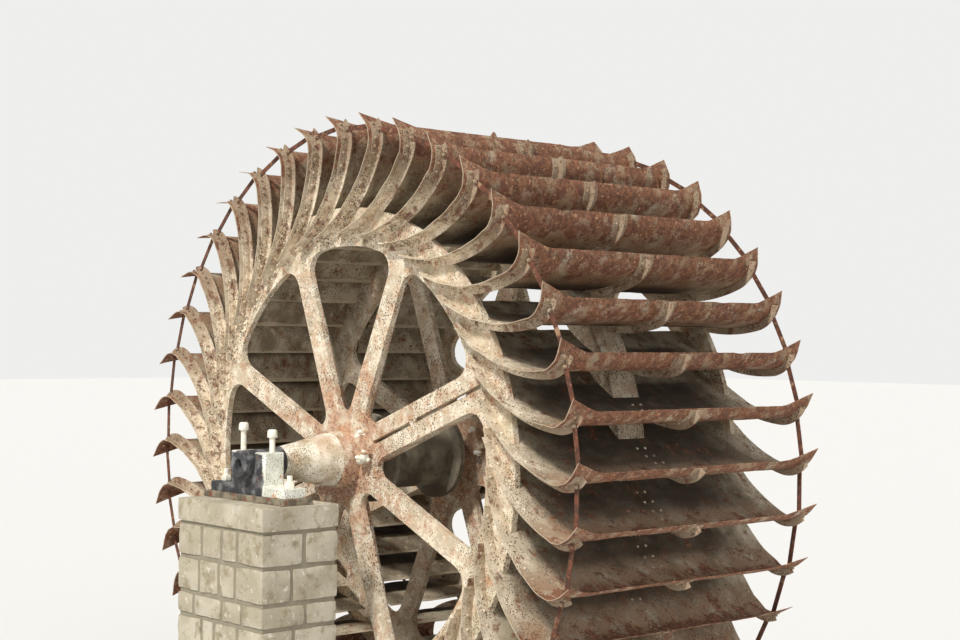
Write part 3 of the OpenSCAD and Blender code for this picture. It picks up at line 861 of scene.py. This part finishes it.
def clamp_crusts(side, y, out):
    """Lime lumps on the clamping bolts of one hub, out towards one end of the axle."""
    shapes = Shapes()
    draw = random.Random(side)
    directions = [math.radians(a) for a in range(15, 180, 25)]
    for half in (0, 180):
        for sv, count in ((-1, 11), (1, 3)):
            for _ in range(count):
                u = LUG_U + draw.uniform(-0.06, 0.06)
                v = sv * (LUG_V + draw.uniform(-0.05, 0.05))
                p = turned(np.array([u, v]), SPLIT + half)
                w = RING_T / 2 + draw.uniform(0.05, LUG_OUT)
                size = draw.uniform(0.026, 0.05)
                rings = [(size * math.sin(a), -size * math.cos(a)) for a in directions]
                base = Vector((p[0], y + out * w, AXLE_H + p[1]))
                axis = (draw.uniform(-1, 1), out, draw.uniform(-1, 1))
                shapes.stack(base, axis, rings, 12, rough=size * 0.5)
    shapes.piece(f"clamp_crusts_{side}", "bolt_steel", "wheel", sharp=60)


# Piers of rough stones in courses
COURSES = 11
CAP_H = 0.24
JOINT = 0.008
MORTAR_INSET = 0.026


def pier_stones(side, end):
    """Courses of rough stones with a cap, and the mortar behind their joints."""
    stones = Shapes()
    draw = random.Random(31 if end > 0 else 32)
    wide, deep = PIER_SIZE
    middle = -end * BEARING_Y
    heights = [draw.uniform(0.65, 1.3) for _ in range(COURSES)]
    unit = (PIER_TOP - CAP_H) / sum(heights)
    z = 0.0
    for row, share in enumerate(heights):
        top = z + share * unit
        z_low = z + JOINT * (row > 0)
        split = draw.uniform(0.34, 0.46) if row % 2 else draw.uniform(0.54, 0.66)
        for y0, y1 in ((0, split), (split, 1)):
            y_low = middle + deep * (y0 - 0.5) + JOINT * (y0 > 0)
            y_high = middle + deep * (y1 - 0.5) - JOINT * (y1 < 1)
            cuts = [draw.uniform(0.55, 1.4) for _ in range(draw.choice((3, 4, 4)))]
            x = -wide / 2
            for k, cut in enumerate(cuts):
                end_x = x + wide * cut / sum(cuts)
                low = (x + JOINT * (k > 0), y_low, z_low)
                high = (end_x - JOINT * (k < len(cuts) - 1), y_high, top - JOINT)
                seed = Vector((draw.random() * 9, row, y0 * 5))
                stones.block(low, high, cell=0.062, edge=0.030, push=0.020, seed=seed)
                x = end_x
        z = top
    low = (-wide / 2, middle - deep / 2, z + JOINT)
    high = (wide / 2, middle + deep / 2, PIER_TOP)
    stones.block(low, high, cell=0.08, edge=0.018, push=0.004, seed=Vector((7, 7, 7)))
    piece = stones.piece(f"pier_stones_{side}", "masonry", "frame", sharp=60)
    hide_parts(f"pier_{side}")
    core = Shapes()
    low = (-wide / 2 + MORTAR_INSET, middle - deep / 2 + MORTAR_INSET, 0.004)
    high = (wide / 2 - MORTAR_INSET, middle + deep / 2 - MORTAR_INSET, PIER_TOP - 0.02)
    core.block(low, high, cell=0.3, edge=0.01, push=0.0, seed=Vector((1, 2, 3)))
    core.piece(f"pier_mortar_{side}", "masonry", "frame", material=MORTAR)


for side, end in (("near", 1), ("far", -1)):
    iron_bolts(side, end)
    cleat_rivets(side, end)
    bearing_studs(side, end)
    pier_stones(side, end)
clamp_crusts("near", -SPIDER_PITCH, -1)
clamp_crusts("middle", 0, 1)
clamp_crusts("far", SPIDER_PITCH, 1)


# Stage, lights and camera
FLOOR_REACH = 160
FLOOR_COLOUR = (0.80, 0.79, 0.77, 1)
SKY = ((0.95, 0.97, 1.0, 1), 0.42)
BACKDROP = ((0.86, 0.86, 0.85, 1), 1.0)


def stage_floor():
    mesh = bpy.data.meshes.new("floor")
    corners = [(x * FLOOR_REACH, y * FLOOR_REACH, 0) for x, y in ((-1, -1), (1, -1), (1, 1), (-1, 1))]
    mesh.from_pydata(corners, [], [(0, 1, 2, 3)])
    floor = bpy.data.objects.new("floor", mesh)
    bpy.context.scene.collection.objects.link(floor)
    look = Look("pale_floor")
    look.shader.inputs["Base Color"].default_value = FLOOR_COLOUR
    look.shader.inputs["Roughness"].default_value = 0.9
    floor.data.materials.append(look.material)


def light_world():
    """Lights the wheel with a soft sky, and shows a pale backdrop to the camera and in gloss."""
    world = bpy.data.worlds.new("studio")
    world.use_nodes = True
    tree = world.node_tree
    tree.nodes.clear()
    ray = tree.nodes.new("ShaderNodeLightPath")
    shown = ray.outputs["Is Camera Ray"]
    for kind in ("Is Glossy Ray", "Is Transmission Ray"):
        either = tree.nodes.new("ShaderNodeMath")
        either.operation = "MAXIMUM"
        tree.links.new(shown, either.inputs[0])
        tree.links.new(ray.outputs[kind], either.inputs[1])
        shown = either.outputs[0]
    mixer = tree.nodes.new("ShaderNodeMixShader")
    tree.links.new(shown, mixer.inputs[0])
    for k, (colour, strength) in enumerate((SKY, BACKDROP)):
        background = tree.nodes.new("ShaderNodeBackground")
        background.inputs["Color"].default_value = colour
        background.inputs["Strength"].default_value = strength
        tree.links.new(background.outputs[0], mixer.inputs[k + 1])
    out = tree.nodes.new("ShaderNodeOutputWorld")
    tree.links.new(mixer.outputs[0], out.inputs[0])
    bpy.context.scene.world = world


def sun(name, towards, strength, spread, colour):
    lamp = bpy.data.lights.new(name, "SUN")
    lamp.energy = strength
    lamp.angle = math.radians(spread)
    lamp.color = colour
    holder = bpy.data.objects.new(name, lamp)
    holder.rotation_mode = "QUATERNION"
    holder.rotation_quaternion = Vector(towards).to_track_quat("Z", "Y")
    bpy.context.scene.collection.objects.link(holder)


def photo_camera():
    """Stands and looks as the photographer did."""
    place = Vector((13.556, -11.835, AXLE_H + 1.237))
    yaw, pitch, roll = math.radians(48.1511), math.radians(0.7011), math.radians(0.4697)
    ahead = Vector((-math.sin(yaw) * math.cos(pitch), math.cos(yaw) * math.cos(pitch), math.sin(pitch)))
    right = ahead.cross(Vector((0, 0, 1))).normalized()
    up = right.cross(ahead)
    across = right * math.cos(roll) + up * math.sin(roll)
    upright = up * math.cos(roll) - right * math.sin(roll)
    turn = Matrix((across, upright, -ahead)).transposed().to_4x4()
    data = bpy.data.cameras.new("camera")
    data.lens = 61.53
    data.sensor_width = 36
    data.clip_end = 500
    camera = bpy.data.objects.new("camera", data)
    camera.matrix_world = Matrix.Translation(place) @ turn
    bpy.context.scene.collection.objects.link(camera)
    bpy.context.scene.camera = camera


stage_floor()
light_world()
sun("key_sun", towards=(0.22, -0.74, 0.88), strength=3.0, spread=8, colour=(1.0, 0.97, 0.92))
sun("fill_sun", towards=(0.9, -0.35, 0.35), strength=0.6, spread=40, colour=(0.94, 0.97, 1.0))
photo_camera()
bpy.context.scene.view_settings.view_transform = "Standard"
